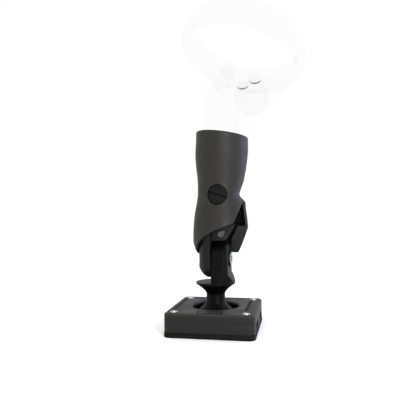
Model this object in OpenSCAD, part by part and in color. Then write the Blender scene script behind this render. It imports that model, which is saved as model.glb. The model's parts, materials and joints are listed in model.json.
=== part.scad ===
/* Tracked hand controller seated in a desktop joystick mount.
   Origin: centre of the base's underside. +Z up, -Y is the front, the grip hinge lies along X. */

/* [Base] */
// Width and depth of the square base
base_w = 70; // [68:1:76]
// Height of the base with its rubber foot
base_h = 18.6; // [18.2:0.2:20]
// Height of the seam between the two base shells
seam_z = 11; // [10.5:0.5:12]
// Thickness of the rubber foot
foot_h = 4; // [4:0.5:5]
// Plan radius of the base's corners
base_corner_r = 5; // [3:0.5:6]
// Radius of the round opening that the stick passes through
opening_r = 19; // [18:0.5:20]
// Distance of the corner screws from the centre, along X and Y
screw_xy = 28; // [27:0.5:29]

/* [Stick] */
// Height of the stick's two-axis pivot
pivot_z = 10; // [10:0.1:10.4]
// Outer radius of the bell that covers the pivot
bell_r = 16.5; // [16:0.1:16.8]
// Radius of the waist between bell and flange
waist_r = 7.5; // [6.5:0.5:8]
// Height of the waist
waist_z = 28; // [27:0.5:29]
// Radius of the flange under the hinge
flange_r = 16; // [15:0.5:16]
// Height of the flange's top
flange_z = 38; // [37:0.5:38.5]

/* [Hinge] */
// Height of the grip's hinge axis
hinge_z = 57; // [56:0.5:57]
// Radius of the hinge's ear and tongue
ear_r = 14; // [13:0.5:14]
// Radius of the hinge bolt
bolt_r = 3; // [2.5:0.5:3]

/* [Grip sleeve] */
// X position of the sleeve's and the handle's axis
grip_x = 5.2; // [5:0.1:5.4]
// Radius of the sleeve below its rim
sleeve_top_r = 21.2; // [21:0.1:21.6]
// Radius of the sleeve's waist
sleeve_waist_r = 17.4; // [17.3:0.1:17.8]
// Radius of the sleeve around the hinge
sleeve_low_r = 22.1; // [22:0.1:22.4]
// Height of the sleeve's waist
sleeve_waist_z = 112; // [111:1:112]
// Height of the sloping rim on the sleeve's axis
rim_z = 156.2; // [155:0.2:157]
// Wall thickness of the sleeve
sleeve_wall = 2.2; // [2:0.1:2.4]
// Radius of the slotted lock plug
plug_r = 7.8; // [7:0.1:8]

/* [Controller] */
// Height of the handle's lower end
handle_z = 121; // [121:0.5:122]
// Largest radius of the handle
handle_r = 15.2; // [15:0.1:15.3]
// Inner radius of the tracking ring at its upper rim
ring_in_r = 38.7; // [38:0.1:39]
// Largest radius of the tracking ring
ring_out_r = 46.8; // [46:0.1:47]
// Height of the tracking ring along its own axis
ring_h = 20.7; // [20:0.1:21]
// Radius of the trigger's round face
trigger_r = 12.9; // [12:0.1:13]
// Radius of the two round face buttons
button_r = 5; // [4.5:0.1:5]

/* [Hidden] */
$fn = 64;
EPS = 0.01;

// Clearances
run_gap = 0.06;
part_gap = 0.3;

// Base
inner_w = base_w - 8;
floor_z = 3.5;
deck_t = 2.4;

// Hinge, along X: the tongue hangs from the grip core, the ear stands on the stick
tongue_x0 = -14;
tongue_x1 = -1.9;
tongue_bottom_r = 15.5;
washer_t = 0.6;
ear_x0 = tongue_x1 + washer_t;
ear_x1 = 12;
nut_x0 = -12.4;
nut_pocket_x = -8;

// Grip core and sleeve
sleeve_z = 60.8;
tongue_r = 18.4;
core_r = 14.6;
core_z = 72.5;
core_top_z = 118;
plug_z = 108.7;
plug_face_y = -15.6;
core_screw_x = 7;
core_screw_z = 77.3;
core_screw_tilt = 40;

// Tilt of the sleeve's rim about Y and X
rim_tilt_y = 11.4;
rim_tilt_x = -2.8;

// Tracking ring frame
ring_pos = [28.9, -30, 216.3];
ring_rot = [-15.8, 14.1, 0];
ring_low_r = 44.5;
ring_top_r = 41.3;
ring_in_low_r = 40.1;

// Face plate frame, with the places of the controls on it
face_pos = [14.1, -8, 197.3];
face_rot = [-12.8, -2.6, 0];
thumb_xy = [0.6, -7.1];
menu_xy = [-8.9, 1.7];
button_a_xy = [10.4, 5.7];
button_b_xy = [21.1, -0.8];
face_t = 2;
thumb_pivot_z = -5;
thumb_scale = 0.42;
thumb_dome_r = 7.6;

// Head: the arc of the ring's lower rim that it carries, and the disc around the thumbstick
head_arc_mid = 79;
head_chord = 22.9;
head_thumb_xy = [-11, 20.6];
head_thumb_r = 11.4;

// Trigger frame: X along its pin, -Y out of its face
trigger_pos = [34.2, -28.5, 180];
trigger_rot = [12, 0, 8];
trigger_pin_yz = [15, 5];

// Grip button, in a frame turned about the handle's axis
grip_button_turn = -15;
grip_pin_xy = [12.4, 5.2];
grip_button_z = [155, 168.5];

// Handle
head_z = 171;
handle_wall = 2.2;
handle_top_r = 14.6;
battery_xy = [-4.1, 1.8];
battery_r = 7.25;
battery_z = [125.1, 175.6];
door_turn = 150;
door_z = [128, 149];

// Outline helpers
function arc_points(c, r, a0, a1, n) =
    [for (i = [0:n]) let (a = a0 + (a1 - a0) * i / n) c + r * [cos(a), sin(a)]];
function rounded_rect(w, d, r) = concat(
    arc_points([w / 2 - r, d / 2 - r], r, 0, 90, 8), arc_points([r - w / 2, d / 2 - r], r, 90, 180, 8),
    arc_points([r - w / 2, r - d / 2], r, 180, 270, 8), arc_points([w / 2 - r, r - d / 2], r, 270, 360, 8));
// Smooth step from 0 to 1
function ease(t) = (1 - cos(180 * min(1, max(0, t)))) / 2;
// Outer radius of the sleeve at height z
function sleeve_r(z) =
    z < 75 ? sleeve_low_r - 4.6 * pow((75 - z) / 15, 2)
    : z < sleeve_waist_z ? sleeve_low_r - (sleeve_low_r - sleeve_waist_r) * ease((z - 75) / (sleeve_waist_z - 75))
    : sleeve_waist_r + (sleeve_top_r - sleeve_waist_r) * ease((z - sleeve_waist_z) / 36);
// Outer radius of the handle at height z
function handle_rad(z) =
    z < 150 ? handle_r - 1.6 * pow((150 - z) / 30, 2) : handle_r - (handle_r - handle_top_r) * ease((z - 157) / 14);
function sleeve_line(first, inset) =
    [for (i = [first:24]) let (z = sleeve_z + (168 - sleeve_z) * i / 24) [sleeve_r(z) - inset, z]];
function handle_line(z0, z1, inset) = [for (i = [0:12]) let (z = z0 + (z1 - z0) * i / 12) [handle_rad(z) - inset, z]];
function reversed(list) = [for (i = [len(list) - 1:-1:0]) list[i]];
// Half section of a close-wound coil of n turns standing on z = 0
function coil_section(n, r, wire) = concat(
    [for (i = [0:n * 6]) let (a = 60 * i) [r + wire * (0.7 + 0.3 * sin(a - 90)), 2 * wire * i / 6]],
    [for (i = [n * 6:-1:0]) let (a = 60 * i) [r - wire * (0.7 + 0.3 * sin(a - 90)), 2 * wire * i / 6]]);

module slab(w, d, r, z0, z1) { translate([0, 0, z0]) linear_extrude(z1 - z0) polygon(rounded_rect(w, d, r)); }
module coil(n, r, wire) { rotate_extrude() polygon(coil_section(n, r, wire)); }
module x_cyl(r, x0, x1) { translate([x0, 0, 0]) rotate([0, 90, 0]) cylinder(r = r, h = x1 - x0); }
module y_cyl(r, y0, y1) { translate([0, y1, 0]) rotate([90, 0, 0]) cylinder(r = r, h = y1 - y0); }
module block(lo, hi) { translate(lo) cube(hi - lo); }
module at_corners(d) { for (x = [-d, d], y = [-d, d]) translate([x, y, 0]) children(); }
module on_grip_axis() { translate([grip_x, 0, 0]) children(); }
module in_ring() { translate(ring_pos) rotate(ring_rot) children(); }
module in_face() { translate(face_pos) rotate(face_rot) children(); }
module in_trigger() { translate(trigger_pos) rotate(trigger_rot) children(); }
module in_grip_button() { on_grip_axis() rotate([0, 0, grip_button_turn]) children(); }
module at_thumb() { in_face() translate([thumb_xy[0], thumb_xy[1], thumb_pivot_z]) children(); }

// A two-axis pivot at unit size, centred on its crossing axes.
module pivot_yoke() {
    difference() {
        union() {
            block([-13, -5, -6.5], [13, 5, -4.5]);
            for (s = [-1, 1]) {
                block([s * 10.25 - 1.25, -3.2, -6.5], [s * 10.25 + 1.25, 3.2, 0]);
                x_cyl(3.2, s * 10.25 - 1.25, s * 10.25 + 1.25);
            }
        }
        x_cyl(2 + run_gap, -14, 14);
    }
}
module pivot_cross() {
    block([-4, -4, -3], [4, 4, 3]);
    x_cyl(2, -11.4, 11.4);
    y_cyl(2, -10.4, 10.4);
}
// The two eyes of the tilting part, which reach up into a ball of radius ball_r.
module pivot_eyes(ball_r) {
    for (s = [-1, 1]) {
        y_cyl(3.2, s * 9.25 - 1.25, s * 9.25 + 1.25);
        intersection() {
            block([-3.2, s * 9.25 - 1.25, 0], [3.2, s * 9.25 + 1.25, 15]);
            sphere(r = ball_r);
        }
    }
}
module pivot_eye_bores() { y_cyl(2 + run_gap, -14, 14); }

// Base
module side_recesses() {
    for (s = [-1, 1], y = [-15.5, 15.5])
        block([s * base_w / 2 - 1.8, y - 10, 5], [s * base_w / 2 + 1.8, y + 10, 10]);
}
module rubber_foot() {
    color("#171716") difference() {
        slab(base_w + 0.6, base_w + 0.6, base_corner_r + 0.3, 0, foot_h);
        slab(base_w - 4, base_w - 4, base_corner_r - 2, 1.5, foot_h + 1);
    }
}
module base_lower_shell() {
    color("#343230") difference() {
        union() {
            difference() {
                union() {
                    slab(base_w - 4.4, base_w - 4.4, base_corner_r - 2.2, 1.5, foot_h + EPS);
                    slab(base_w, base_w, base_corner_r, foot_h, seam_z);
                }
                slab(inner_w, inner_w, 3, floor_z, seam_z + 1);
            }
            at_corners(screw_xy) translate([0, 0, floor_z - EPS]) cylinder(r = 4.4, h = seam_z - floor_z + EPS);
        }
        at_corners(screw_xy) translate([0, 0, seam_z - 5]) cylinder(r = 2.3, h = 6);
        side_recesses();
    }
}
module base_upper_shell() {
    color("#4a4846") difference() {
        union() {
            difference() {
                slab(base_w, base_w, base_corner_r, seam_z, base_h);
                slab(inner_w, inner_w, 3, seam_z - 1, base_h - deck_t);
            }
            at_corners(screw_xy) translate([0, 0, seam_z]) cylinder(r = 4.4, h = base_h - deck_t - seam_z + EPS);
        }
        translate([0, 0, seam_z]) cylinder(r = opening_r, h = base_h);
        translate([0, 0, base_h - 1]) cylinder(r1 = opening_r, r2 = opening_r + 1.02, h = 1.02);
        at_corners(screw_xy) {
            cylinder(r = 1.7, h = base_h + 1);
            translate([0, 0, base_h - 1.2]) cylinder(r = 3.2, h = 2);
        }
        side_recesses();
    }
}
module corner_screws() {
    color("#c9b98a") at_corners(screw_xy) difference() {
        union() {
            translate([0, 0, seam_z - 4.6]) cylinder(r = 1.45, h = base_h - seam_z + 4);
            translate([0, 0, base_h - 1.2]) cylinder(r = 2.9, h = 1.5);
        }
        translate([0, 0, base_h - 0.7]) cylinder(r = 1.2, h = 2, $fn = 6);
    }
}
module threaded_inserts() {
    color("#b58a3c") at_corners(screw_xy) translate([0, 0, seam_z - 5]) difference() {
        cylinder(r = 2.3, h = 5);
        translate([0, 0, -1]) cylinder(r = 1.5, h = 7);
    }
}
module gimbal_yoke() { color("#8d9094") translate([0, 0, pivot_z]) pivot_yoke(); }
module gimbal_cross() { color("#a3a5a8") translate([0, 0, pivot_z]) pivot_cross(); }
module pitch_springs() {
    color("#c7c9cc") translate([0, 0, pivot_z]) for (s = [0, 180])
        rotate([0, 0, s]) translate([4.2, 0, 0]) rotate([0, 90, 0]) coil(5, 2.7, 0.44);
}
module roll_springs() {
    color("#c7c9cc") translate([0, 0, pivot_z]) for (s = [90, 270])
        rotate([0, 0, s]) translate([4.2, 0, 0]) rotate([0, 90, 0]) coil(4, 2.7, 0.44);
}

// Stick
bell_edge = 6;
bell_wall = 4.4;
bell_flare = [
    [15.9, 13.2], [14.9, 14.6], [13.4, 15.9], [11.9, 17.1], [10.4, 18.3], [9.2, 19.7], [8.3, 21.4], [7.8, 23.4]];
module stick_neck() {
    pivot = [0, pivot_z];
    waist_to_flange = [for (i = [1:8]) let (t = i / 8)
        [waist_r + (flange_r - waist_r) * pow(t, 1.6), waist_z + (flange_z - 1.4 - waist_z) * t]];
    bell = concat(
        [[bell_r * cos(bell_edge), pivot_z + bell_r * sin(bell_edge)]], bell_flare, [[waist_r, waist_z]]);
    hollow = arc_points(pivot, bell_r - bell_wall, 90, asin(bell_r * sin(bell_edge) / (bell_r - bell_wall)), 20);
    color("#1c1b1a") difference() {
        union() {
            rotate_extrude() polygon(concat([[0, flange_z]], hollow, bell, waist_to_flange,
                [[flange_r, flange_z]]));
            translate([0, 0, pivot_z]) pivot_eyes(bell_r - 2.5);
            ear();
        }
        translate([0, 0, pivot_z]) pivot_eye_bores();
        translate([0, 0, hinge_z]) x_cyl(bolt_r + run_gap, ear_x0 - 1, ear_x1 + 1);
    }
}
module ear() {
    translate([0, 0, hinge_z]) rotate([0, 90, 0]) rotate_extrude() polygon(concat(
        [[0, ear_x0]], arc_points([ear_r - 1.5, ear_x0 + 1.5], 1.5, -90, 0, 5),
        arc_points([ear_r - 4, ear_x1 - 4], 4, 0, 90, 8), [[0, ear_x1]]));
    intersection() {
        union() {
            translate([0, 0, flange_z - 1]) linear_extrude(hinge_z - flange_z + 1) polygon(concat(
                arc_points([ear_x1 - 4, 4 - ear_r], 4, -90, 0, 8), arc_points([ear_x1 - 4, ear_r - 4], 4, 0, 90, 8),
                [[ear_x0, ear_r], [ear_x0, -ear_r]]));
            translate([0, 11, 0]) rotate([90, 0, 0]) linear_extrude(22)
                polygon([[0, flange_z - 1], [flange_r, flange_z - 1], [flange_r, flange_z],
                    [ear_x1 - 0.1, flange_z + 7], [0, flange_z + 7]]);
        }
        translate([0, 0, flange_z - 1]) cylinder(r1 = flange_r, r2 = flange_r + 4, h = hinge_z - flange_z + 1);
    }
}
module hinge_bolt() {
    color("#b9babc") difference() {
        translate([0, 0, hinge_z]) union() {
            x_cyl(bolt_r, nut_x0, ear_x1 + EPS);
            x_cyl(6.6, ear_x1, ear_x1 + 1.4);
        }
        translate([ear_x1 + 0.6, 0, hinge_z]) rotate([0, 90, 0]) cylinder(r = 2.4, h = 2, $fn = 6);
    }
}
module hinge_nut() {
    color("#a9abad") difference() {
        translate([nut_x0, 0, hinge_z]) rotate([0, 90, 0])
            cylinder(r = 5.7, h = nut_pocket_x - washer_t - nut_x0, $fn = 6);
        translate([0, 0, hinge_z]) x_cyl(bolt_r, nut_x0 - 1, nut_pocket_x);
    }
}
module washer(x0, r) {
    translate([0, 0, hinge_z]) difference() {
        x_cyl(r, x0, x0 + washer_t);
        x_cyl(bolt_r, x0 - 1, x0 + 2);
    }
}
module friction_washers() {
    color("#6f6a5e") {
        washer(tongue_x1, 9);
        washer(nut_pocket_x - washer_t, 6);
    }
}

// Grip
module grip_core() {
    tongue_section = concat([[0, tongue_x1], [0, tongue_x0]],
        [for (i = [4:24]) let (a = 90 * i / 24) [tongue_bottom_r * sin(a), -4 + (tongue_x0 + 4) * cos(a)]],
        [[tongue_bottom_r, tongue_x1]]);
    color("#161615") difference() {
        union() {
            intersection() {
                union() {
                    intersection() {
                        translate([0, 0, hinge_z]) rotate([0, 90, 0]) rotate_extrude() polygon(tongue_section);
                        block([-20, -ear_r, 40], [0, ear_r, 80]);
                    }
                    block([tongue_x0, -ear_r, hinge_z], [tongue_x1, ear_r, 84]);
                }
                on_grip_axis() translate([0, 0, 40]) cylinder(r = tongue_r, h = 60);
            }
            on_grip_axis() translate([0, 0, core_z]) cylinder(r = core_r, h = core_top_z - core_z);
        }
        translate([0, 0, hinge_z]) {
            x_cyl(tongue_bottom_r, tongue_x1, 30);
            x_cyl(bolt_r + run_gap, tongue_x0 - 1, tongue_x1 + 1);
            x_cyl(6.4, tongue_x0 - 1, nut_pocket_x);
        }
        translate([grip_x, 0, plug_z]) {
            y_cyl(plug_r, -20, -12.4);
            y_cyl(4 + run_gap, -13, -5.5);
        }
        translate([core_screw_x, 0, core_screw_z]) screw_recess();
        translate([0, 20, 0]) rotate([90, 0, 0]) linear_extrude(40)
            polygon([
                [13.6, 104.5], [13.6, 84.6], [16.9, 84.6], [9.2, core_z], [9.2, 60], [30, 60], [30, 104.5]]);
    }
}
// Teardrop outline on the XZ plane, its tip pointing up to the right
module teardrop(r, tip, y0, y1) {
    translate([0, y1, 0]) rotate([90, 0, 0]) linear_extrude(y1 - y0) polygon(concat(
        arc_points([0, 0], r, core_screw_tilt + 55, core_screw_tilt + 305, 24),
        [tip * [cos(core_screw_tilt), sin(core_screw_tilt)]]));
}
module screw_recess() {
    teardrop(2.9, 5.1, -20, -12.8);
    y_cyl(1.6, -13, -5);
}
module core_screw() {
    color("#c4c5c7") translate([core_screw_x, 0, core_screw_z]) difference() {
        union() {
            teardrop(2.6, 4.6, -13.8, -12.8);
            y_cyl(1.5, -12.9, -5.5);
        }
        translate([0, -13.2, 0]) rotate([90, 0, 0]) cylinder(r = 1.5, h = 2, $fn = 6);
    }
}
module rim_cut(drop) {
    translate([grip_x, 0, rim_z - drop]) rotate([rim_tilt_x, rim_tilt_y, 0]) translate([-60, -60, 0]) cube([120, 120, 60]);
}
module sleeve_liner() {
    liner_z0 = sleeve_z + (168 - sleeve_z) * 13 / 24;
    color("#2b2a29") difference() {
        on_grip_axis() rotate_extrude() polygon(concat(
            sleeve_line(13, sleeve_wall), [[handle_r + part_gap, 168]],
            reversed(handle_line(liner_z0, 157, -part_gap))));
        rim_cut(1.6);
    }
}
// Lower opening at the front right, where the stick's ear shows
module sleeve_opening() {
    translate([0, 5.5, 0]) rotate([90, 0, 0]) linear_extrude(40) polygon([
        [25.6, 102.6], [18, 87], [11, 84.2], [3, 80.2], [-5, 75.8], [-10.7, 70.6], [-12.8, 67.4], [-16, 64],
        [-30, 62], [-30, 50], [45, 50], [45, 102.6]]);
    translate([0, 40, 0]) rotate([90, 0, 0]) linear_extrude(60)
        polygon([[30, 92], [26.7, 81.6], [20, 60.9], [13, 60.4], [13, 50], [45, 50], [45, 92]]);
}
module grip_sleeve() {
    color("#3a3836") difference() {
        on_grip_axis() rotate_extrude() polygon(concat(
            sleeve_line(0, 0), reversed(sleeve_line(0, sleeve_wall))));
        rim_cut(0);
        sleeve_opening();
        intersection() {
            on_grip_axis() translate([0, 0, 50]) cylinder(r = tongue_r + 0.1, h = 34.1);
            block([-20, -ear_r - 0.3, 50], [tongue_x1 + 0.3, ear_r + 0.3, 90]);
        }
        translate([grip_x, 0, plug_z]) y_cyl(plug_r, -30, -5);
    }
}
module lock_plug() {
    color("#242322") translate([grip_x, 0, plug_z]) difference() {
        union() {
            y_cyl(plug_r - run_gap, plug_face_y, -12.5);
            y_cyl(4, -12.6, -6);
        }
        rotate([0, 18, 0]) block([-9, -20, -0.6], [9, plug_face_y + 2.2, 0.6]);
    }
}

// Controller handle
module handle_solid(inset, z0, z1) {
    on_grip_axis() rotate_extrude() polygon(concat([[0, z0]], handle_line(z0, z1, inset), [[0, z1]]));
}
module door_block(gap) {
    on_grip_axis() rotate([0, 0, door_turn]) block([5, -8 - gap, door_z[0] - gap], [20, 8 + gap, door_z[1] + gap]);
}
module handle_shell() {
    color("#f2f2f2") difference() {
        handle_solid(0, handle_z, head_z);
        handle_solid(handle_wall, handle_z - 1, head_z + 1);
        door_block(0.1);
        in_grip_button() {
            block([9, -8.1, grip_button_z[0] - 0.6], [20, 8.1, grip_button_z[1] + 0.6]);
            translate([grip_pin_xy[0], grip_pin_xy[1], 152.5]) cylinder(r = 0.9, h = 30);
        }
    }
}
module battery_door() {
    color("#eeeeee") intersection() {
        door_block(0);
        difference() {
            handle_solid(0, handle_z, head_z);
            handle_solid(handle_wall, handle_z - 1, head_z + 1);
        }
    }
}
module handle_end_cap() {
    color("#e6e6e6") on_grip_axis() {
        translate([0, 0, 118.4]) cylinder(r1 = 12.4, r2 = 13.2, h = handle_z - 118.4);
        translate([0, 0, handle_z - EPS]) cylinder(r = 10.9, h = 1.3);
    }
}
module battery_cell() {
    color("#b8c4b0") translate([grip_x + battery_xy[0], battery_xy[1], battery_z[0]]) {
        cylinder(r = battery_r, h = battery_z[1] - battery_z[0] - 1.2);
        cylinder(r = 2.7, h = battery_z[1] - battery_z[0]);
    }
}
module battery_spring() {
    color("#cfd1d3") translate([grip_x + battery_xy[0] + 1.5, battery_xy[1], 122.3]) coil(3, 3.4, 0.46);
}
module battery_contact() {
    color("#d0c08a") translate([grip_x + battery_xy[0] - 4, battery_xy[1] - 4, battery_z[1]]) cube([8, 8, 0.8]);
}

// Controller head
module head_segment(r, chord, z0, z1) {
    in_ring() intersection() {
        translate([0, 0, z0]) cylinder(r = r, h = z1 - z0, $fn = 48);
        rotate([0, 0, head_arc_mid]) block([chord, -60, z0 - 1], [60, 60, z1 + 1]);
    }
}
module head_hull(inset, top, rise) {
    hull() {
        head_segment(ring_low_r - inset, head_chord + inset, top - 1.5, top);
        in_ring() translate([head_thumb_xy[0], head_thumb_xy[1], top - 8])
            cylinder(r = head_thumb_r - inset, h = 8, $fn = 32);
        on_grip_axis() translate([0, 0, head_z - rise]) cylinder(r = handle_top_r - inset, h = 1, $fn = 40);
        translate([28, -5, head_z + 2 * rise]) cylinder(r = 11 - inset, h = 3, $fn = 32);
    }
}
module head_outer() { head_hull(0, -ring_h / 2, 0); }
module head_inner() { head_hull(2.2, -ring_h / 2 - 2.2, 1); }
module well(grow, z0, z1) {
    in_face() translate([0, 0, z0]) linear_extrude(z1 - z0) hull() {
        translate(thumb_xy) circle(r = 9.4 + grow, $fn = 32);
        translate(menu_xy) circle(r = 7 + grow, $fn = 32);
        translate(button_a_xy) circle(r = 8.4 + grow, $fn = 32);
        translate(button_b_xy) circle(r = 8.4 + grow, $fn = 32);
    }
}
module head_shell() {
    color("#f4f4f4") difference() {
        union() {
            difference() {
                head_outer();
                head_inner();
            }
            intersection() {
                head_outer();
                union() {
                    well(1.5, -face_t - 1.5, 16);
                    in_trigger() for (s = [-1, 1])
                        block([s * 8.2 - 1, 4, 1.5], [s * 8.2 + 1, 18, 8.5]);
                }
            }
        }
        well(0, -face_t, 20);
        well(-2.4, -face_t - 3, 0);
        at_thumb() {
            translate([0, 0, -1]) cylinder(r = 8.2, h = 5);
            translate([0, 0, 6]) cylinder(r1 = 10.5, r2 = 15, h = 9);
        }
        in_trigger() {
            block([-4.6, -2, -3.6], [7.1, 22, 9]);
            translate([0, trigger_pin_yz[0], trigger_pin_yz[1]]) x_cyl(1, -9.3, 9.3);
        }
        on_grip_axis() translate([0, 0, head_z - 5]) cylinder(r = handle_top_r - handle_wall, h = 9);
    }
}
module face_plate() {
    color("#ececec") difference() {
        well(-0.1, -face_t, 0);
        in_face() {
            translate([thumb_xy[0], thumb_xy[1], -4]) cylinder(r = 7.4, h = 6);
            translate([menu_xy[0], menu_xy[1], -4]) cylinder(r = 4.4, h = 6);
            translate([button_a_xy[0], button_a_xy[1], -4]) cylinder(r = button_r + 0.3, h = 6);
            translate([button_b_xy[0], button_b_xy[1], -4]) cylinder(r = button_r + 0.3, h = 6);
        }
    }
}
module main_board() {
    color("#3d5a45") in_face() translate([4, 8, 0]) slab(26, 12, 2, -12, -10.6);
}
module haptic_motor() { color("#c0c0c4") translate([20, -2, 176]) cylinder(r = 5, h = 3.4); }

// Tracking ring
module ring_outer_shell() {
    h = ring_h / 2;
    outer = [for (i = [0:16]) let (t = i / 16, z = -h + 2 * h * t)
        [ring_low_r + (ring_top_r - ring_low_r) * t + (ring_out_r - 43.1) * sin(180 * pow(t, 0.9)), z]];
    cavity = [for (i = [15:-1:1]) outer[i] - [1.9, 0]];
    color("#f6f6f6") in_ring() rotate_extrude() polygon(concat(
        outer, [[ring_in_r + 1.1, h], [ring_in_r + 1.25, h - 1.5]], cavity,
        [[ring_in_low_r + 1.4, -h + 1.6], [ring_in_low_r + 1.4, -h]]));
}
module ring_inner_shell() {
    h = ring_h / 2;
    color("#ededed") in_ring() rotate_extrude() polygon([
        [ring_in_low_r, -h], [ring_in_low_r + 1.35, -h], [ring_in_low_r + 1.35, -h + 1.6],
        [ring_in_r + 1.05, h], [ring_in_r, h]]);
}
module led_strip() {
    color("#d8d8de") in_ring() {
        difference() {
            translate([0, 0, -2]) cylinder(r = 41.7, h = 4);
            translate([0, 0, -3]) cylinder(r = ring_in_low_r + 0.9, h = 6);
        }
        for (a = [0:30:330]) rotate([0, 0, a]) x_cyl(1.3, 41.5, 42.8);
    }
}

// Thumbstick
module thumbstick_housing() {
    color("#dcdcdc") at_thumb() slab(11.6, 7.6, 2, -5.1, -6.5 * thumb_scale - 0.02);
}
module thumbstick_yoke() { color("#cfcfcf") at_thumb() scale(thumb_scale) pivot_yoke(); }
module thumbstick_cross() { color("#c4c4c4") at_thumb() scale(thumb_scale) pivot_cross(); }
module thumbstick_dome() {
    dome_in = thumb_dome_r - 1.1;
    color("#e2e2e2") at_thumb() difference() {
        union() {
            rotate_extrude() polygon(concat(
                arc_points([0, 0], thumb_dome_r, 12, 90, 16),
                arc_points([0, 0], dome_in, 90, asin(thumb_dome_r * sin(12) / dome_in), 12)));
            scale(thumb_scale) pivot_eyes(16.6);
        }
        scale(thumb_scale) pivot_eye_bores();
        translate([0, 0, dome_in - 1]) cylinder(r = 1.6, h = 4);
    }
}
module thumbstick_stem() {
    color("#d9d9d9") at_thumb() {
        translate([0, 0, dome_in_z()]) cylinder(r = 1.6, h = 11.6 - dome_in_z());
        translate([0, 0, thumb_dome_r]) cylinder(r1 = 4, r2 = 3.2, h = 2.9);
    }
}
function dome_in_z() = thumb_dome_r - 1.1;
module thumbstick_cap() {
    color("#e4e4e4") at_thumb() translate([0, 0, 10.5]) difference() {
        union() {
            cylinder(r1 = 5, r2 = 6.7, h = 1);
            translate([0, 0, 1]) cylinder(r = 6.7, h = 1.6);
        }
        translate([0, 0, -1]) cylinder(r = 1.6, h = 2.1);
        translate([0, 0, 22.4]) sphere(r = 20.4);
    }
}

// Buttons
module button_cap(xy) {
    in_face() translate([xy[0], xy[1], 0]) rotate_extrude() polygon(concat(
        [[0, 0.8], [button_r, 0.8]],
        arc_points([0, -18], 20.2, acos(button_r / 20.2), 90, 6)));
}
module button_base(xy) {
    in_face() translate([xy[0], xy[1], -4.8]) cylinder(r = button_r + 0.5, h = 2.5);
    in_face() translate([xy[0], xy[1], -2.4]) cylinder(r = button_r - 0.15, h = 3.2);
}
module button_a_cap() { color("#efefef") button_cap(button_a_xy); }
module button_a_base() { color("#1a1a1a") button_base(button_a_xy); }
module button_b_cap() { color("#efefef") button_cap(button_b_xy); }
module button_b_base() { color("#1a1a1a") button_base(button_b_xy); }
module menu_button() {
    color("#e0e0e0") in_face() translate([menu_xy[0], menu_xy[1], -1.6]) {
        cylinder(r = 4.1, h = 1.9);
        translate([0, 0, -2]) cylinder(r = 2, h = 2.1);
    }
}

// Trigger
module trigger() {
    color("#dedede") in_trigger() difference() {
        union() {
            intersection() {
                y_cyl(trigger_r, 0, 4.5);
                translate([0, 40.3, 0]) sphere(r = 40.3, $fn = 200);
            }
            block([-4, 4.4, 0.5], [4, 18, 8]);
        }
        translate([0, trigger_pin_yz[0], trigger_pin_yz[1]]) x_cyl(1 + run_gap, -5, 5);
    }
}
module trigger_pin() {
    color("#bfc1c4") in_trigger() translate([0, trigger_pin_yz[0], trigger_pin_yz[1]]) x_cyl(1, -9.2, 9.2);
}
module trigger_spring() {
    color("#cfd1d3") in_trigger() translate([4.2, trigger_pin_yz[0], trigger_pin_yz[1]])
        rotate([0, 90, 0]) coil(4, 1.7, 0.34);
}

// Grip button
module grip_button() {
    color("#e8e8e8") in_grip_button() difference() {
        intersection() {
            block([11.2, -7.5, grip_button_z[0]], [28.2, 7.5, grip_button_z[1]]);
            translate([16.8, 0, grip_button_z[0] - 1]) cylinder(r = 11.3, h = 20);
        }
        translate([grip_pin_xy[0], grip_pin_xy[1], 150]) cylinder(r = 0.9 + run_gap, h = 30);
        block([10, 2.6, 159], [15, 8, 164.4]);
    }
}
module grip_pin() {
    color("#bfc1c4") in_grip_button() translate([grip_pin_xy[0], grip_pin_xy[1], 152.5]) cylinder(r = 0.9, h = 18.5);
}
module grip_spring() {
    color("#cfd1d3") in_grip_button() translate([grip_pin_xy[0], grip_pin_xy[1], 159.4]) coil(6, 1.55, 0.34);
}

rubber_foot();
base_lower_shell();
base_upper_shell();
corner_screws();
threaded_inserts();
gimbal_yoke();
gimbal_cross();
pitch_springs();
roll_springs();
stick_neck();
hinge_bolt();
hinge_nut();
friction_washers();
grip_core();
core_screw();
sleeve_liner();
grip_sleeve();
lock_plug();
handle_shell();
handle_end_cap();
battery_door();
battery_cell();
battery_spring();
battery_contact();
head_shell();
face_plate();
main_board();
haptic_motor();
ring_outer_shell();
ring_inner_shell();
led_strip();
thumbstick_housing();
thumbstick_yoke();
thumbstick_cross();
thumbstick_dome();
thumbstick_stem();
thumbstick_cap();
button_a_cap();
button_a_base();
button_b_cap();
button_b_base();
menu_button();
trigger();
trigger_pin();
trigger_spring();
grip_button();
grip_pin();
grip_spring();
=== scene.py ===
import json
import math

import bmesh
import bpy
from mathutils import Matrix, Vector

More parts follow.
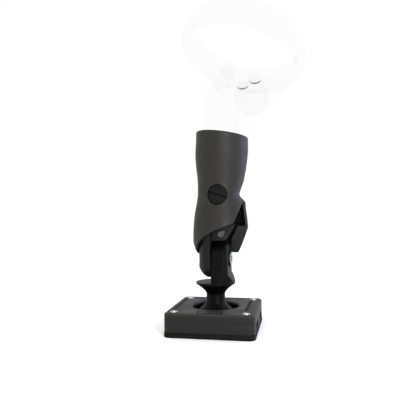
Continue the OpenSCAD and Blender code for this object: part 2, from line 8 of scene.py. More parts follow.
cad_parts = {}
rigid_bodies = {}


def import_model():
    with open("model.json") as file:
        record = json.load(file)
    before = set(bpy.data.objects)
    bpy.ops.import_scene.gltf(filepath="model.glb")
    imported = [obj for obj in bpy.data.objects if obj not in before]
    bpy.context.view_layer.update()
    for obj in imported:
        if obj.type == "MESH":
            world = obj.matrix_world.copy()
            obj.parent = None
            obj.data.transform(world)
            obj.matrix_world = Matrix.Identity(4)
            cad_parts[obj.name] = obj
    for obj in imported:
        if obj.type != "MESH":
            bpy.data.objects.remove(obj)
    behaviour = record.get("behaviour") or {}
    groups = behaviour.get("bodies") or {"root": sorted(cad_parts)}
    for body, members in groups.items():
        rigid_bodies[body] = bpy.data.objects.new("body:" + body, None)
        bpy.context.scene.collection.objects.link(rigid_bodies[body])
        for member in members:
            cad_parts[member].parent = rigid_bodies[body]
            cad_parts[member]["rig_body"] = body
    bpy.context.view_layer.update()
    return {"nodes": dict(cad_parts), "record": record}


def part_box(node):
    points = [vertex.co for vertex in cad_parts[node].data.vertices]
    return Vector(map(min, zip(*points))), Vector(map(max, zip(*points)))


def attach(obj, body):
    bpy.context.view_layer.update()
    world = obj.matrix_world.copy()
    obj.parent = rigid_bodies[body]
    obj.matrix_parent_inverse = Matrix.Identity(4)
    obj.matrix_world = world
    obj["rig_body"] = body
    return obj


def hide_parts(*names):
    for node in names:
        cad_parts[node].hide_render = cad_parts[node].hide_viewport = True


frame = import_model()
MM = 0.001
scene = bpy.context.scene
NODES = frame["nodes"]
SLOT_OF = {row["node"]: row["material_slot"] for row in frame["record"]["subparts"]}


# ---------------------------------------------------------------- camera
# Fitted to the square base and the upright stick: its place and lens in mm, its angles in radians
CAMERA_PLACE = (66.17, -360.99, 95.53)
YAW, PITCH, ROLL = 0.196265, 0.0076254, -0.013285
LENS, SENSOR_WIDTH = 38.596154, 36.0

ahead = Vector((-math.sin(YAW) * math.cos(PITCH), math.cos(YAW) * math.cos(PITCH), math.sin(PITCH)))
right = Vector((math.cos(YAW), math.sin(YAW), 0))
up = right.cross(ahead)
cam_right = right * math.cos(ROLL) + up * math.sin(ROLL)
cam_up = up * math.cos(ROLL) - right * math.sin(ROLL)
cam_data = bpy.data.cameras.new("camera")
cam_data.sensor_fit = "HORIZONTAL"
cam_data.sensor_width = SENSOR_WIDTH
cam_data.lens = LENS
cam_data.clip_start = 0.01
cam = bpy.data.objects.new("camera", cam_data)
scene.collection.objects.link(cam)
cam_turn = Matrix((cam_right, cam_up, -ahead)).transposed().to_4x4()
cam.matrix_world = Matrix.Translation(Vector(CAMERA_PLACE) * MM) @ cam_turn
scene.camera = cam
scene.view_settings.view_transform = "Standard"
# A line of sight passes through many of the clear controller's skins
scene.cycles.transparent_max_bounces = 40


# ---------------------------------------------------------------- materials
MAT = {}
EVEN = (1, 1, 1)


class Paint:
    """A Principled material with colour, roughness and bump from layered noise in object space."""

    def __init__(self, name, level=None, **sockets):
        material = MAT[name] = bpy.data.materials.new(name)
        material.use_nodes = True
        self.tree = material.node_tree
        self.shader = self.tree.nodes["Principled BSDF"]
        self.coords = self.tree.nodes.new("ShaderNodeTexCoord").outputs
        self.height = None
        if level is not None:
            self.shader.inputs["Specular IOR Level"].default_value = level
        for key, value in sockets.items():
            self.shader.inputs[key.replace("_", " ")].default_value = value

    def link(self, a, b):
        self.tree.links.new(a, b)

    def noise(self, scale, detail=4.0, rough=0.55, stretch=EVEN):
        node = self.tree.nodes.new("ShaderNodeTexNoise")
        node.inputs["Scale"].default_value = scale
        node.inputs["Detail"].default_value = detail
        node.inputs["Roughness"].default_value = rough
        place = self.coords["Object"]
        if stretch != EVEN:
            mapping = self.tree.nodes.new("ShaderNodeMapping")
            mapping.inputs["Scale"].default_value = stretch
            self.link(place, mapping.inputs["Vector"])
            place = mapping.outputs["Vector"]
        self.link(place, node.inputs["Vector"])
        return node.outputs["Fac"]

    def cells(self, scale):
        node = self.tree.nodes.new("ShaderNodeTexVoronoi")
        node.inputs["Scale"].default_value = scale
        self.link(self.coords["Object"], node.inputs["Vector"])
        return node.outputs["Distance"]

    def math(self, operation, a, b):
        node = self.tree.nodes.new("ShaderNodeMath")
        node.operation = operation
        for socket, value in zip(node.inputs, (a, b)):
            if isinstance(value, (int, float)):
                socket.default_value = value
            else:
                self.link(value, socket)
        return node.outputs[0]

    def facing_up(self, scale, detail, share):
        """1 where a face looks straight up, 0 where it is upright, plus a share of noise: the mask by which
        light and shade are painted.
        """
        split = self.tree.nodes.new("ShaderNodeSeparateXYZ")
        self.link(self.coords["Normal"], split.inputs[0])
        blur = self.math("MULTIPLY", self.noise(scale, detail), share)
        return self.math("ADD", split.outputs["Z"], blur)

    def colour(self, factor, *stops):
        """Base colour from a ramp of (place, colour) stops."""
        node = self.tree.nodes.new("ShaderNodeValToRGB")
        elements = node.color_ramp.elements
        while len(elements) < len(stops):
            elements.new(0.5)
        for element, (place, rgb) in zip(elements, stops):
            element.position = place
            element.color = (*rgb, 1)
        self.link(factor, node.inputs["Fac"])
        self.link(node.outputs["Color"], self.shader.inputs["Base Color"])

    def roughness(self, factor, low, high):
        """Roughness from low to high over the middle of the noise's range."""
        node = self.tree.nodes.new("ShaderNodeMapRange")
        for key, value in (("From Min", 0.3), ("From Max", 0.7), ("To Min", low), ("To Max", high)):
            node.inputs[key].default_value = value
        self.link(factor, node.inputs["Value"])
        self.link(node.outputs["Result"], self.shader.inputs["Roughness"])

    def bump(self, height, strength, distance):
        """One more layer of relief on those already there."""
        node = self.tree.nodes.new("ShaderNodeBump")
        node.inputs["Strength"].default_value = strength
        node.inputs["Distance"].default_value = distance
        self.link(height, node.inputs["Height"])
        if self.height is not None:
            self.link(self.height, node.inputs["Normal"])
        self.height = node.outputs["Normal"]
        self.link(self.height, self.shader.inputs["Normal"])


def shade(rgb, k):
    return tuple(min(1.0, c * k) for c in rgb)


def moulded(name, rgb, rough, grain=0.00006, vary=0.12, grain_scale=2600, level=None):
    """Moulded plastic: fine spark grain, slow colour drift and faint handling marks."""
    p = Paint(name, level)
    drift = p.math("MULTIPLY", p.noise(38, 3), 0.7)
    fine = p.math("MULTIPLY", p.noise(900, 5), 0.3)
    p.colour(p.math("ADD", drift, fine), (0.3, shade(rgb, 1 - vary)), (0.7, shade(rgb, 1 + vary)))
    p.roughness(p.noise(120, 4), *rough)
    p.bump(p.noise(grain_scale, 3), 0.35, grain)
    p.bump(p.cells(grain_scale * 0.6), 0.22, grain)


def metal(name, rgb, rough=(0.16, 0.3), stretch=EVEN):
    """Turned or drawn metal: brushing lines, small scratches and a slow tarnish."""
    p = Paint(name, Metallic=1.0)
    lines = p.noise(1500, 4, 0.6, stretch)
    p.colour(p.noise(260, 4), (0.3, shade(rgb, 0.86)), (0.7, shade(rgb, 1.08)))
    p.roughness(lines, *rough)
    p.bump(lines, 0.25, 0.00004)


def glint_painted_metal(name, flat, edge, rough):
    """Dark metal with painted glints: the faces that don't look straight up are painted near white, as
    highlights.
    """
    p = Paint(name, Metallic=1.0)
    # Painted highlight: near white where a face turns from straight up, the dark metal colour where it
    # looks up
    p.colour(p.facing_up(900, 4, 0.06), (0.86, edge), (0.97, shade(flat, 1.2)), (1.0, flat))
    p.roughness(p.noise(1500, 4), *rough)
    p.bump(p.noise(1500, 4), 0.25, 0.00004)


def rubber(name, rgb, level):
    """Dull rubber or foam, mottled, with a pebbled skin."""
    p = Paint(name, level)
    p.colour(p.noise(60, 5), (0.32, shade(rgb, 0.8)), (0.68, shade(rgb, 1.35)))
    p.roughness(p.noise(300, 4), 0.62, 0.82)
    p.bump(p.noise(1800, 4), 0.5, 0.00012)
    p.bump(p.cells(700), 0.2, 0.00006)


def ghost(name, grey, alpha):
    """Almost clear plastic with a faint smoky cloudiness and a fine satin grain."""
    p = Paint(name, Alpha=alpha)
    rgb = (grey, grey, grey)
    p.colour(p.noise(55, 4), (0.3, shade(rgb, 0.95)), (0.7, shade(rgb, 1.05)))
    p.roughness(p.noise(200, 4), 0.4, 0.55)
    p.bump(p.noise(2200, 3), 0.2, 0.00004)


def lit_top_plastic(name, top, side, rough, level):
    """Moulded plastic with painted light and shade: faces that look up are painted paler, as lit, and its
    sides darker, as shaded.
    """
    p = Paint(name, level)
    # Painted light: the shaded side colour turns to the lit top colour as a face turns up
    p.colour(p.facing_up(45, 5, 0.25), (0.2, side), (0.62, shade(top, 0.8)), (1.0, top))
    p.roughness(p.noise(110, 5), *rough)
    p.bump(p.noise(1900, 3), 0.4, 0.00009)
    p.bump(p.cells(1200), 0.22, 0.00006)


rubber("foot_rubber", (0.0035, 0.0035, 0.0032), level=0.12)
rubber("liner_foam", (0.012, 0.0115, 0.011), level=0.15)
# The base's paler top and darker sides are painted light and shade
lit_top_plastic("base_plastic", top=(0.027, 0.026, 0.0248), side=(0.0094, 0.009, 0.0086), rough=(0.5, 0.64),
         level=0.19)
# The screws' bright edges are painted glints
glint_painted_metal("brass_screw", flat=(0.16, 0.115, 0.07), edge=(0.95, 0.9, 0.82), rough=(0.1, 0.24))
metal("brass", (0.6, 0.42, 0.16))
metal("gimbal_metal", (0.3, 0.31, 0.32), (0.35, 0.5))
metal("spring_steel", (0.55, 0.56, 0.57), (0.2, 0.34), stretch=(1, 1, 6))
metal("bolt_steel", (0.09, 0.093, 0.1), (0.12, 0.26))
metal("nut_steel", (0.4, 0.41, 0.42), (0.25, 0.4), stretch=(8, 1, 1))
moulded("stick_plastic", (0.0022, 0.0021, 0.002), (0.34, 0.48), grain=0.00007, vary=0.2, grain_scale=2400,
        level=0.06)
moulded("core_plastic", (0.0062, 0.006, 0.0057), (0.45, 0.58), grain=0.00007, vary=0.15, grain_scale=2400,
        level=0.13)
moulded("sleeve_plastic", (0.0135, 0.0126, 0.0117), (0.46, 0.58), vary=0.1, level=0.24)
# Painted shade: the lock plug is painted darker than the sleeve for the shadow it lies in
moulded("plug_plastic", (0.0034, 0.0032, 0.003), (0.3, 0.42), vary=0.15, level=0.14)
moulded("washer_fibre", (0.05, 0.045, 0.04), (0.6, 0.75), grain=0.0001, vary=0.2, grain_scale=1500)
moulded("button_dark", (0.1, 0.1, 0.1), (0.4, 0.55), vary=0.15)
moulded("mark_ink", (0.003, 0.0029, 0.0028), (0.6, 0.75), grain=0.00005, vary=0.2, level=0.03)
for name, grey, alpha in (
    ("ghost_ring", 0.2, 0.02), ("ghost_shell", 0.2, 0.0085), ("ghost_face", 0.2, 0.004),
    ("ghost_trigger", 0.2, 0.03), ("ghost_cap", 0.17, 0.028), ("ghost_dome", 0.2, 0.015),
    ("ghost_menu", 0.18, 0.022), ("ghost_inner", 0.3, 0.002), ("button_white", 0.2, 0.025),
):
    ghost(name, grey, alpha)

# A node takes the material of its slot, apart from these
PAINT_OF = dict(
    SLOT_OF,
    grip_core="core_plastic",
    trigger="ghost_trigger",
    thumbstick_cap="ghost_cap",
    thumbstick_dome="ghost_dome",
    menu_button="ghost_menu",
    ring_outer_shell="ghost_ring",
    **dict.fromkeys(("ring_inner_shell", "thumbstick_stem", "button_a_base", "button_b_base",
                     "handle_end_cap", "battery_door"), "ghost_inner"),
)


def dress(thing, material):
    thing.data.materials.clear()
    thing.data.materials.append(MAT[material])


for name, thing in NODES.items():
    dress(thing, PAINT_OF[name])


# ---------------------------------------------------------------- mesh tools
def tilt(about_y, about_x, size=3):
    """A turn about Y and then about the turned X, in degrees."""
    return (Matrix.Rotation(math.radians(about_y), size, "Y")
            @ Matrix.Rotation(math.radians(about_x), size, "X"))


def opened(mesh):
    bm = bmesh.new()
    bm.from_mesh(mesh)
    return bm


def written(bm, mesh):
    bm.to_mesh(mesh)
    bm.free()
    return mesh


def closed(bm, name):
    """A new mesh of a closed skin, with its faces turned outward."""
    bmesh.ops.recalc_face_normals(bm, faces=bm.faces)
    return written(bm, bpy.data.meshes.new(name))


def bridge(bm, a, b):
    """Faces between two rings of as many points."""
    for k in range(len(a)):
        m = (k + 1) % len(a)
        bm.faces.new((a[k], b[k], b[m], a[m]))


def all_round(bm, rings):
    """A skin through rings that follow each other back to the first."""
    for a, b in zip(rings, rings[1:] + rings[:1]):
        bridge(bm, a, b)


def end_to_end(bm, rings):
    """A skin through rings from first to last, closed at both ends."""
    for a, b in zip(rings, rings[1:]):
        bridge(bm, a, b)
    bm.faces.new(rings[0])
    bm.faces.new(rings[-1][::-1])


def spaced(a, b, count):
    """count + 1 even steps from a to b."""
    return [a + (b - a) * k / count for k in range(count + 1)]


def frame_body(node):
    return NODES[node]["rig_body"]


def new_object(name, mesh, body, material):
    thing = bpy.data.objects.new(name, mesh)
    scene.collection.objects.link(thing)
    dress(thing, material)
    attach(thing, body)
    return thing


def stand_for(node):
    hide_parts(node)


def smooth(mesh, angle):
    """Smooth shading, with an edge kept sharp where its faces differ by more than angle degrees."""
    for face in mesh.polygons:
        face.use_smooth = True
    mesh.update()
    limit = math.cos(math.radians(angle))
    bm = opened(mesh)
    for edge in bm.edges:
        faces = edge.link_faces
        edge.smooth = len(faces) != 2 or faces[0].normal.dot(faces[1].normal) > limit
    written(bm, mesh)


def apply_modifiers(thing):
    """The object's modifiers, made real in its mesh."""
    bpy.context.view_layer.update()
    graph = bpy.context.evaluated_depsgraph_get()
    mesh = bpy.data.meshes.new_from_object(thing.evaluated_get(graph))
    old = thing.data
    thing.modifiers.clear()
    thing.data = mesh
    bpy.data.meshes.remove(old)


# ---------------------------------------------------------------- CAD nodes with rounded edges
JOIN_DISTANCE = 2e-6
# Turns of the surface, in degrees: faces within the first are joined, edges past the second are rounded,
# and edges past the third look sharp
FLAT_ANGLE, EDGE_ANGLE, REFINED_SHARP = 0.6, 34, 38
WIDE_EDGE_RADIANS = 0.5


def refine(node, width, wide=None):
    """A copy of a CAD node with its flat faces joined and its edges rounded, standing for that node.

    wide is (test, width) for edges that are rounded more: test takes an edge's middle in mm."""
    bm = opened(NODES[node].data)
    bmesh.ops.remove_doubles(bm, verts=bm.verts, dist=JOIN_DISTANCE)
    bmesh.ops.dissolve_limit(bm, angle_limit=math.radians(FLAT_ANGLE), verts=bm.verts, edges=bm.edges)
    if wide:
        test, wide_width = wide
        chosen = [e for e in bm.edges
                  if len(e.link_faces) == 2 and e.calc_face_angle() > WIDE_EDGE_RADIANS
                  and test((e.verts[0].co + e.verts[1].co) / 2 / MM)]
        bmesh.ops.bevel(bm, geom=chosen, offset=wide_width * MM, segments=6, profile=0.5,
                        affect="EDGES", clamp_overlap=True)
    mesh = written(bm, NODES[node].data.copy())
    thing = new_object(node + "_form", mesh, frame_body(node), PAINT_OF[node])
    bevel = thing.modifiers.new("edge", "BEVEL")
    bevel.width = width * MM
    bevel.segments = 3
    bevel.limit_method = "ANGLE"
    bevel.angle_limit = math.radians(EDGE_ANGLE)
    bevel.use_clamp_overlap = True
    bevel.miter_outer = "MITER_ARC"
    apply_modifiers(thing)
    smooth(thing.data, REFINED_SHARP)
    stand_for(node)


base_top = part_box("base_upper_shell")[1]
deck_z, base_half = base_top.z / MM, base_top.x / MM
# An edge is on the deck's rim when it lies within these of the base's top and of its sides, in mm
DECK_BAND, RIM_BAND = 0.1, 1.7


def on_deck_rim(middle):
    return middle.z > deck_z - DECK_BAND and max(abs(middle.x), abs(middle.y)) > base_half - RIM_BAND


# How wide each node's edges are rounded, in mm, and which are rounded more
EDGE_WIDTH = {
    "rubber_foot": 0.5, "base_lower_shell": 0.45, "base_upper_shell": 0.7, "corner_screws": 0.2,
    "stick_neck": 0.7, "hinge_bolt": 0.25, "hinge_nut": 0.25, "friction_washers": 0.08,
    "grip_core": 0.7, "core_screw": 0.2, "lock_plug": 0.3,
    "grip_button": 0.9, "trigger": 0.5, "button_a_cap": 0.35, "button_b_cap": 0.35,
    "button_a_base": 0.2, "button_b_base": 0.2, "menu_button": 0.35, "thumbstick_cap": 0.35,
    "thumbstick_stem": 0.3, "handle_shell": 0.25, "face_plate": 0.25,
}
WIDE_EDGES = {"base_upper_shell": (on_deck_rim, 1.9)}
for node, width in EDGE_WIDTH.items():
    refine(node, width, WIDE_EDGES.get(node))


def cut_below(thing, point, normal):
    """Cuts off what lies below a plane through point (mm), and closes the cut."""
    bm = opened(thing.data)
    cut = bmesh.ops.bisect_plane(bm, geom=bm.verts[:] + bm.edges[:] + bm.faces[:], clear_inner=True,
                                 plane_co=Vector(point) * MM, plane_no=Vector(normal))
    bmesh.ops.holes_fill(bm, edges=[e for e in cut["geom_cut"] if isinstance(e, bmesh.types.BMEdge)])
    bmesh.ops.recalc_face_normals(bm, faces=bm.faces)
    written(bm, thing.data)
    smooth(thing.data, REFINED_SHARP)


# The grip button's lower end stays clear of the sleeve's rim
BUTTON_CUT_POINT, BUTTON_CUT_NORMAL = (21.0, 0, 155.5), (-0.1, 0.1, 1)
cut_below(bpy.data.objects["grip_button_form"], BUTTON_CUT_POINT, BUTTON_CUT_NORMAL)


# ---------------------------------------------------------------- grip sleeve
# Lengths and heights in mm, angles in degrees from +X round the sleeve's axis
GRIP_X = 5.2
WALL, THINNEST = 2.2, 0.77
# Radii of the skin: largest at LOW_Z, narrowest at WAIST_Z, wide again TOP_RISE above it
LOW_R, WAIST_R, TOP_R = 22.1, 17.4, 21.2
LOW_Z, WAIST_Z, TOP_RISE = 75, 112.0, 36
# Below LOW_Z the radius falls by FOOT_FALL over FOOT_RISE
FOOT_FALL, FOOT_RISE = 4.6, 15
# How much fuller the skin is on its right and left sides, as the photo's camera sees them: (height, swell)
RIGHT_SIDE, LEFT_SIDE = 9.6, 189.6
SWELL_RIGHT = [(66, 0.3), (75, 0.7), (82, 0.8), (95, 0.4), (101.6, 0.1), (108, -0.8), (114.7, 0.6),
               (120, 1.7), (128, 1.85), (136, 1.7), (148, 1.7), (160, 1.7)]
SWELL_LEFT = [(62, 1.3), (68.8, 1.3), (75.4, 0.85), (82, 0.9), (88.5, 1.3), (95, 1.3), (101.6, 0.75),
              (108, 0.2), (116, 0.45), (128, 0.5), (134.4, 0.1), (141, -0.5), (147.5, -1.05), (154, -1.5),
              (160, -1.7)]
# The sleeve's middle drifts to the left at the waist
DRIFT, DRIFT_Z, DRIFT_SPREAD = -1.15, 107, 14
# How far the front right corner stands out: (height, flare)
FLARE = [(78, 0), (86, 0.6), (93, 1.5), (99, 2.5), (102.2, 3.3), (103.6, 3.0), (105.4, 1.5), (107.4, 0.2),
         (109.5, -0.5), (116, 0)]
FLARE_SIDE, FLARE_FRONT_SPREAD, FLARE_BACK_SPREAD = 6, 33, 46
# Below the crease the far wall leans in, from LEAN_FROM round to LEAN_TO and gradually at both
CREASE_Z, LEAN_SLOPE = 83.2, 0.2
LEAN_FROM, LEAN_IN, LEAN_TO, LEAN_OUT = -5, 15, 120, 50
# A plane cuts through it there: y = CUT_Y at the crease, and further back below
CUT_Y, CUT_SLOPE = 7.2, 0.239
CUT_FROM, CUT_TO = 10, 80
# Left end of the far wall's cut face: (height, x)
CUT_END = [(59, 11.0), (72, 11.8), (83.2, 17.6)]
# The wall is thinner beside the hinge nut: it thins over NUT_FADE below NUT_TOP, and over NUT_TURN degrees
# past NUT_SIDE on either hand
NUT_THINNING, NUT_TOP, NUT_FADE, NUT_SIDE, NUT_TURN = 0.85, 66.5, 3, 150, 10
# Height of the sleeve's lower edge: (angle, height)
LOWER_EDGE = [(-180, 60.9), (-172, 61.4), (-165, 63.4), (-158, 65.4), (-150, 67.0), (-142, 68.8),
              (-132, 72.0), (-120, 75.4), (-105, 78.6), (-90, 81.2), (-75, 83.4), (-62, 84.8), (-53, 85.8),
              (-46, 89.8), (-34, 94.8), (-23, 99.3), (-12, 102.5), (6, 103.5), (12.6, 103.2), (14.6, 97.0),
              (17, 88.0), (19, 83.2), (23.2, 78.6), (28.4, 73.4), (34.2, 68.4), (40.2, 64.0), (44.7, 61.2),
              (48, 60.7), (56, 60.6), (64, 60.9), (180, 60.9)]
# The rim lies in a plane that crosses the axis at RIM_Z, tilted about Y and then X
RIM_Z, RIM_TURN = 157.7, (7.0, -2.8)
# How much of the height each edge takes to turn over, and in how many steps
EDGE_ROUND, EDGE_STEPS = 0.7, 6
OUTER_ROWS, UPPER_ROWS, LOWER_ROWS = 64, 44, 26
# Two rows close to the crease keep it crisp; where the lower edge is higher, they lie CREASE_LIFT above it
CREASE_ABOVE, CREASE_BELOW, CREASE_LIFT = 0.04, 0.02, 0.9
ANGLE_STEP, FINE_STEP, FINE_FROM, FINE_TO = 1.5, 0.5, 12, 18
# The lock plug's hole: its middle, and (depth from it along Y, radius)
BORE_MIDDLE = (GRIP_X, 0, 108.7)
BORE = [(-30, 9.6), (-17.35, 8.35), (-16.9, 8.0), (-9, 8.0)]
BORE_STEPS = 72


def between(points, at):
    """The value at `at`, on straight lines through (place, value) points."""
    if at <= points[0][0]:
        return points[0][1]
    for (x0, y0), (x1, y1) in zip(points, points[1:]):
        if at <= x1:
            return y0 + (y1 - y0) * (at - x0) / (x1 - x0)
    return points[-1][1]


def ease(t):
    """0 to 1 as t goes from 0 to 1, without a corner at either end."""
    t = min(1.0, max(0.0, t))
    return (1 - math.cos(math.pi * t)) / 2


def sleeve_radius(z):
    if z < LOW_Z:
        return LOW_R - FOOT_FALL * ((LOW_Z - z) / FOOT_RISE) ** 2
    if z < WAIST_Z:
        return LOW_R - (LOW_R - WAIST_R) * ease((z - LOW_Z) / (WAIST_Z - LOW_Z))
    return WAIST_R + (TOP_R - WAIST_R) * ease((z - WAIST_Z) / TOP_RISE)


def side_swell(angle, z):
    """The swell of each side, fading to nothing a quarter turn away from it."""
    swell = 0.0
    for side, heights in ((RIGHT_SIDE, SWELL_RIGHT), (LEFT_SIDE, SWELL_LEFT)):
        swell += between(heights, z) * max(0.0, math.cos(math.radians(angle - side))) ** 2
    return swell


def sleeve_point(angle, z, inset):
    """A point of the sleeve, inset from its outer skin, in metres."""
    drift = DRIFT * math.exp(-((z - DRIFT_Z) / DRIFT_SPREAD) ** 2)
    spread = FLARE_FRONT_SPREAD if angle < FLARE_SIDE else FLARE_BACK_SPREAD
    flare = between(FLARE, z) * math.exp(-((angle - FLARE_SIDE) / spread) ** 2)
    r = sleeve_radius(z)
    lean = ease((angle - LEAN_FROM) / LEAN_IN) * ease((LEAN_TO - angle) / LEAN_OUT)
    r += flare - inset - lean * max(0.0, r - LOW_R + (CREASE_Z - z) * LEAN_SLOPE) + side_swell(angle, z)
    a = math.radians(angle)
    return ((GRIP_X + drift + r * math.cos(a)) * MM, r * math.sin(a) * MM, z * MM)


def inner_inset(angle, z):
    """How far the inner skin lies inside the outer: the wall, or as far as the cut through the far wall."""
    if z > CREASE_Z or not CUT_FROM < angle < CUT_TO:
        beside_nut = ease((NUT_TOP - z) / NUT_FADE) * ease((abs(angle) - NUT_SIDE) / NUT_TURN)
        return WALL - NUT_THINNING * beside_nut
    x, y, _ = sleeve_point(angle, z, 0)
    a = math.radians(angle)
    cut_r = (CUT_Y + (CREASE_Z - z) * CUT_SLOPE) / math.sin(a)
    if GRIP_X + cut_r * math.cos(a) < between(CUT_END, z):
        return WALL
    inset = math.hypot(x / MM - GRIP_X, y / MM) - cut_r
    return max(THINNEST, inset)


def sleeve_top(x, y):
    normal = tilt(*RIM_TURN) @ Vector((0, 0, 1))
    return RIM_Z - (normal.x * (x - GRIP_X) + normal.y * y) / normal.z


def sleeve_section(angle):
    """(height, inset) points of the wall at one angle: up the outside, over the rim, down and under."""
    low = between(LOWER_EDGE, angle)
    a = math.radians(angle)
    high = sleeve_top(GRIP_X + TOP_R * math.cos(a), TOP_R * math.sin(a))
    under, over = low + EDGE_ROUND, high - EDGE_ROUND
    turns = [math.pi * k / EDGE_STEPS for k in range(1, EDGE_STEPS)]
    points = [(z, 0.0) for z in spaced(under, over, OUTER_ROWS)]
    points += [(over + EDGE_ROUND * math.sin(t), WALL / 2 - WALL / 2 * math.cos(t)) for t in turns]
    crease = max(CREASE_Z, low + CREASE_LIFT)
    heights = spaced(over, crease + CREASE_ABOVE, UPPER_ROWS)
    heights += spaced(crease - CREASE_BELOW, under, LOWER_ROWS)
    points += [(z, inner_inset(angle, z)) for z in heights]
    foot = points[-1][1] / 2
    points += [(under - EDGE_ROUND * math.sin(t), foot + foot * math.cos(t)) for t in turns]
    return points


def bore_tool(name):
    """A cutter of revolution along Y."""
    bm = bmesh.new()
    x, y, z = BORE_MIDDLE
    turns = [2 * math.pi * k / BORE_STEPS for k in range(BORE_STEPS)]
    rings = [[bm.verts.new(((x + r * math.cos(t)) * MM, (y + depth) * MM, (z + r * math.sin(t)) * MM))
              for t in turns] for depth, r in BORE]
    end_to_end(bm, rings)
    thing = bpy.data.objects.new(name, closed(bm, name))
    scene.collection.objects.link(thing)
    return thing


def sleeve_form():
    """One closed skin, with its rows following both edges, and the lock plug's hole."""
    # Closer together where the lower edge drops to the far wall
    half_round = round(180 / ANGLE_STEP)
    angles = {ANGLE_STEP * k for k in range(-half_round, half_round)}
    angles |= {FINE_FROM + FINE_STEP * k for k in range(round((FINE_TO - FINE_FROM) / FINE_STEP))}
    bm = bmesh.new()
    all_round(bm, [[bm.verts.new(sleeve_point(angle, z, inset)) for z, inset in sleeve_section(angle)]
                   for angle in sorted(angles)])
    thing = new_object("grip_sleeve_form", closed(bm, "grip_sleeve_form"), "grip", "sleeve_plastic")
    bore = bore_tool("sleeve_bore")
    cut = thing.modifiers.new("bore", "BOOLEAN")
    cut.object = bore
    cut.solver = "EXACT"
    apply_modifiers(thing)
    bpy.data.objects.remove(bore)
    dress(thing, "sleeve_plastic")
    smooth(thing.data, angle=30)
    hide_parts("grip_sleeve")


sleeve_form()


# ---------------------------------------------------------------- controller head
def soften(node, voxel, steps):
    """A copy of a CAD node with its edges and corners melted into one moulded skin."""
    thing = new_object(node + "_form", NODES[node].data.copy(), frame_body(node), PAINT_OF[node])
    melt = thing.modifiers.new("voxels", "REMESH")
    melt.mode = "VOXEL"
    melt.voxel_size = voxel * MM
    relax = thing.modifiers.new("relax", "SMOOTH")
    relax.factor = 0.5
    relax.iterations = steps
    apply_modifiers(thing)
    smooth(thing.data, angle=60)
    dress(thing, PAINT_OF[node])
    stand_for(node)


soften("head_shell", 0.8, 8)

# The tracking ring, in its own frame: radii in mm, from the CAD's numbers
RING_PLACE, RING_TURN = (28.9, -30.0, 216.3), (14.1, -15.8)
RING_HALF = 10.35
RING_LOW, RING_TOP, RING_BULGE = 44.5, 41.3, 3.68
RING_IN_LOW, RING_IN_TOP = 40.1, 38.7
RING_STEPS = 160


def ring_profile():
    """(radius, height) points round the ring's section: outside, upper rim, inside and lower rim."""
    outer = []
    for t in spaced(0.03, 0.97, 32):
        bulge = RING_BULGE * math.sin(math.pi * t ** 0.9)
        outer.append((RING_LOW + (RING_TOP - RING_LOW) * t + bulge, -RING_HALF + 2 * RING_HALF * t))
    outer_low, outer_top = outer[0][0], outer[-1][0]
    upper_rim = [(outer_top - 0.35, RING_HALF - 0.1), (outer_top - 0.9, RING_HALF),
                 (RING_IN_TOP + 1.5, RING_HALF), (RING_IN_TOP + 1.15, RING_HALF - 0.2)]
    inner = list(zip(spaced(RING_IN_TOP + 1.1, RING_IN_LOW + 1.1, 12),
                     spaced(RING_HALF - 0.6, 0.6 - RING_HALF, 12)))
    lower_rim = [(RING_IN_LOW + 1.5, -RING_HALF), (outer_low - 0.8, -RING_HALF),
                 (outer_low - 0.2, 0.2 - RING_HALF)]
    return outer + upper_rim + inner + lower_rim


def ring_form():
    """The ring as one clear moulding, with its rims rounded, standing for the outer shell."""
    bm = bmesh.new()
    profile = ring_profile()
    turns = [2 * math.pi * k / RING_STEPS for k in range(RING_STEPS)]
    all_round(bm, [[bm.verts.new((r * math.cos(t) * MM, r * math.sin(t) * MM, z * MM)) for r, z in profile]
                   for t in turns])
    mesh = closed(bm, "ring_outer_form")
    mesh.transform(Matrix.Translation(Vector(RING_PLACE) * MM) @ tilt(*RING_TURN, size=4))
    thing = new_object("ring_outer_form", mesh, frame_body("ring_outer_shell"), "ghost_ring")
    smooth(thing.data, angle=32)
    stand_for("ring_outer_shell")


ring_form()

# The face buttons lean with the head
FACE_TURN = (-2.6, -12.8)
# The shade in the gap under each cap is painted as a dark crescent sheet behind it: from and to in degrees,
# and its sections
GAP_FROM, GAP_TO, GAP_SECTIONS = -4, 184, 48
# Its top, from the cap's underside; its depth and thickness at the ends; what its middle adds to each
GAP_TOP, GAP_LEAST, GAP_DEEPER, GAP_THICKER = -0.06, 0.03, 1.15, 0.2
# How far inside the cap's rim its top and its foot lie
GAP_TOP_INSET, GAP_FOOT_INSET = 0.02, 0.05


def gap_shade_sheet(name, cap, body):
    """A dark sheet of painted shade in the gap under a face button: deep at the back of the cap, shallow at
    its sides.
    """
    points = [v.co for v in NODES[cap].data.vertices]
    turn = tilt(*FACE_TURN)
    normal = turn @ Vector((0, 0, 1))
    low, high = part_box(cap)
    middle = (low + high) / 2
    middle = middle + normal * min((p - middle).dot(normal) for p in points)
    rim = max((p - middle - normal * (p - middle).dot(normal)).length for p in points)
    bm = bmesh.new()
    sections = []
    for k in range(GAP_SECTIONS + 1):
        a = math.radians(GAP_FROM + (GAP_TO - GAP_FROM) * k / GAP_SECTIONS)
        out = turn @ Vector((math.cos(a), math.sin(a), 0))
        taper = max(0.0, math.sin(math.pi * k / GAP_SECTIONS))
        foot = GAP_TOP - (GAP_LEAST + GAP_DEEPER * taper ** 1.3)
        thick = GAP_LEAST + GAP_THICKER * taper
        corners = ((GAP_FOOT_INSET, foot), (GAP_TOP_INSET, GAP_TOP),
                   (GAP_TOP_INSET + thick, GAP_TOP), (GAP_FOOT_INSET + thick, foot))
        sections.append([bm.verts.new(middle + out * (rim - r * MM) + normal * (h * MM))
                         for r, h in corners])
    end_to_end(bm, sections)
    thing = new_object(name, closed(bm, name), body, "button_dark")
    smooth(thing.data, angle=40)


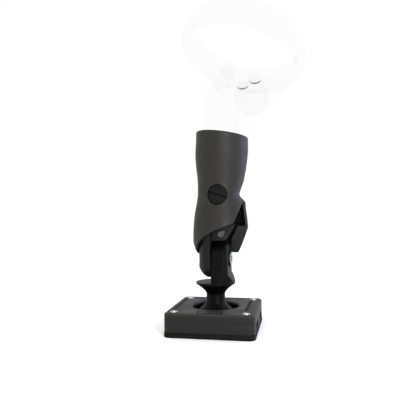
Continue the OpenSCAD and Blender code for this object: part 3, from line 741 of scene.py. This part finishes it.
# Dark sheets of painted shade under the A and B caps
gap_shade_sheet("button_a_gap_shade", "button_a_cap", frame_body("button_a_cap"))
gap_shade_sheet("button_b_gap_shade", "button_b_cap", frame_body("button_b_cap"))


# ---------------------------------------------------------------- printed marks on the base
MARK_SUNK, MARK_PROUD = 0.3, 0.08


def marks(name, bars, z, body):
    """Short rounded bars, a little proud of a flat top: (x0, y0, x1, y1, corner radius) in mm."""
    bm = bmesh.new()
    for x0, y0, x1, y1, r in bars:
        corners = ((x1 - r, y1 - r, 0), (x0 + r, y1 - r, 90), (x0 + r, y0 + r, 180), (x1 - r, y0 + r, 270))
        outline = [(cx + r * math.cos(a), cy + r * math.sin(a))
                   for cx, cy, start in corners for a in map(math.radians, spaced(start, start + 90, 4))]
        low, top = ([bm.verts.new((x * MM, y * MM, height * MM)) for x, y in outline]
                    for height in (z - MARK_SUNK, z + MARK_PROUD))
        end_to_end(bm, [low, top])
    thing = new_object(name, closed(bm, name), body, "mark_ink")


# Two columns of dashes beside the opening, as (left, right). The insets and steps repeat up each column:
# a dash ends short on its right by its inset, and on its left by half of that
DASH_COLUMNS = ((-31.4, -28.4), (25.4, 28.4))
DASH_FROM, DASH_TO, DASH_WIDTH, DASH_ROUND = -18.0, 24, 0.75, 0.3
DASH_INSETS = (0, 0.9, 0, 0.4, 1.3, 0)
DASH_STEPS = (1.5, 1.5, 2.4, 1.5, 1.5, 1.5, 3.0)
# A plain outline in front of the opening, and a plain pill behind it
OUTLINE = [(-9.5, -31.4, 9.5, -30.2, 0.3), (-9.5, -24.2, 9.5, -23.0, 0.3),
           (-9.5, -30.4, -8.7, -24.0, 0.3), (8.7, -30.4, 9.5, -24.0, 0.3)]
PILL = (2.4, 25.6, 8.2, 27.2, 0.8)

bars = []
for x0, x1 in DASH_COLUMNS:
    y, step = DASH_FROM, 0
    while y < DASH_TO:
        inset = DASH_INSETS[step % len(DASH_INSETS)]
        bars.append((x0 + inset * 0.5, y, x1 - inset, y + DASH_WIDTH, DASH_ROUND))
        y += DASH_STEPS[step % len(DASH_STEPS)]
        step += 1
bars += OUTLINE + [PILL]
marks("base_deck_marks", bars, deck_z, "base")


# ---------------------------------------------------------------- floor and light
bm = bmesh.new()
bmesh.ops.create_grid(bm, x_segments=40, y_segments=40, size=6.0)
floor = bpy.data.objects.new("floor", written(bm, bpy.data.meshes.new("floor")))
scene.collection.objects.link(floor)
# White paper, so that the floor meets the white surroundings without a line
paper = Paint("floor_paper", Roughness=0.9, Emission_Color=(1, 1, 1, 1), Emission_Strength=0.07)
paper.colour(paper.noise(3, 2), (0.3, (0.92, 0.92, 0.92)), (0.7, (0.94, 0.94, 0.94)))
dress(floor, "floor_paper")

world = bpy.data.worlds.new("studio")
scene.world = world
world.use_nodes = True
world.node_tree.nodes["Background"].inputs["Color"].default_value = (1, 1, 1, 1)
world.node_tree.nodes["Background"].inputs["Strength"].default_value = 1.0


def lamp(name, place, target, size, power, colour):
    """A rectangular area lamp at place that looks at target, in metres and watts."""
    data = bpy.data.lights.new(name, "AREA")
    data.shape = "RECTANGLE"
    data.size, data.size_y = size
    data.energy = power
    data.color = colour
    thing = bpy.data.objects.new(name, data)
    scene.collection.objects.link(thing)
    thing.location = place
    thing.rotation_euler = (Vector(target) - Vector(place)).to_track_quat("-Z", "Y").to_euler()


lamp("key", (-0.1, -0.5, 0.95), (0, 0, 0.1), (0.5, 0.5), 1.5, (1, 0.99, 0.97))
lamp("strip_front", (0.42, -0.68, 0.24), (0, 0, 0.12), (0.07, 0.5), 4.0, (0.97, 0.98, 1.0))
lamp("rim_right", (0.6, 0.32, 0.3), (0, 0, 0.12), (0.1, 0.6), 2.6, (0.55, 0.65, 1.0))
lamp("fill_left", (-0.7, -0.25, 0.3), (0, 0, 0.1), (0.3, 0.6), 0.3, (1.0, 0.94, 0.86))

bpy.context.view_layer.update()
